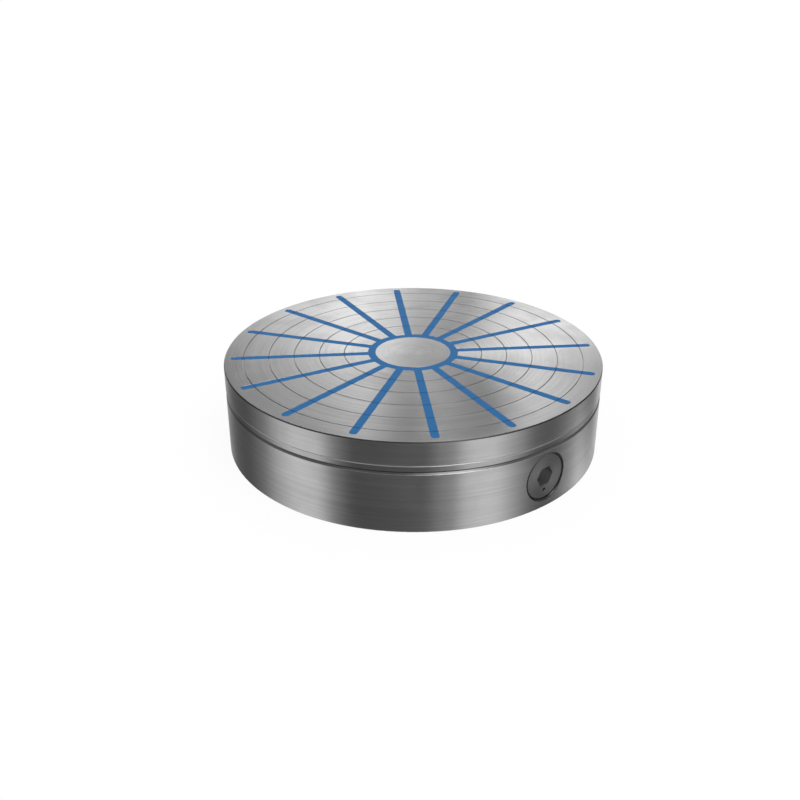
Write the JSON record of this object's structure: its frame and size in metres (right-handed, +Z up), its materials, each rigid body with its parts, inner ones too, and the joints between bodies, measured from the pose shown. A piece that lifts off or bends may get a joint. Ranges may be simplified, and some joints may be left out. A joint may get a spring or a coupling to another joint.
{
  "type": "magnetic chuck",
  "caption": "Round permanent magnetic chuck with radial poles in blue resin and centring grooves, switched by half a turn of a hex key in its side.",
  "frame": {"origin": "centre of the bottom face, on the chuck's axis", "axes": "+Z up along the chuck's axis, out of the holding face; the hex key faces -Y"},
  "size_m": [0.15, 0.15, 0.036],
  "materials": {
    "turned_steel": "turned",
    "ground_steel": "ground",
    "blue_resin": "cast and ground flush",
    "key_steel": "blackened",
    "screw_steel": "blackened",
    "bright_steel": "machined",
    "magnet_plating": "nickel plated",
    "spider_alloy": "milled",
    "bronze": "turned",
    "nitrile": "moulded"
  },
  "bodies": {
    "housing": {"base_body": "turned_steel", "pole_plate": "ground_steel", "pole_gap_resin": "blue_resin", "plate_seal_ring": "nitrile", "plate_screws": "screw_steel", "plate_dowels": "bright_steel", "pivot_post": "bright_steel", "pivot_screw": "screw_steel", "thrust_washer": "bronze", "slip_disc": "bright_steel", "key_stop_screw": "screw_steel"},
    "rotor": {"rotor_yoke": "bright_steel", "rotor_bush": "bronze", "magnet_spider": "spider_alloy", "spider_screws": "screw_steel", "magnet_01": "magnet_plating", "magnet_02": "magnet_plating", "magnet_03": "magnet_plating", "magnet_04": "magnet_plating", "magnet_05": "magnet_plating", "magnet_06": "magnet_plating", "magnet_07": "magnet_plating", "magnet_08": "magnet_plating", "magnet_09": "magnet_plating", "magnet_10": "magnet_plating", "magnet_11": "magnet_plating", "magnet_12": "magnet_plating", "magnet_13": "magnet_plating", "magnet_14": "magnet_plating", "magnet_15": "magnet_plating", "magnet_16": "magnet_plating"},
    "key": {"key_shaft": "key_steel", "key_seal_ring": "nitrile"},
    "slide_block": {"slide_block": "bronze"}
  },
  "joints": [
    {"name": "rotor_turn", "type": "hinge", "parent": "housing", "child": "rotor", "pos_m": [0, 0, 0.014], "axis": [0, 0, 1], "range_deg": [0, 11.25]},
    {"name": "key_turn", "type": "hinge", "parent": "housing", "child": "key", "pos_m": [0, -0.0742, 0.0125], "axis": [0, 1, 0], "range_deg": [0, 180]},
    {"name": "block_turn", "type": "hinge", "parent": "key", "child": "slide_block", "pos_m": [-0.00483, -0.056, 0.0125], "axis": [0, 1, 0], "range_deg": [-180, 0]}
  ],
  "couplings": [
    {"joint": "key_turn", "follows": "rotor_turn", "ratio": 16},
    {"joint": "block_turn", "follows": "rotor_turn", "ratio": -16}
  ]
}
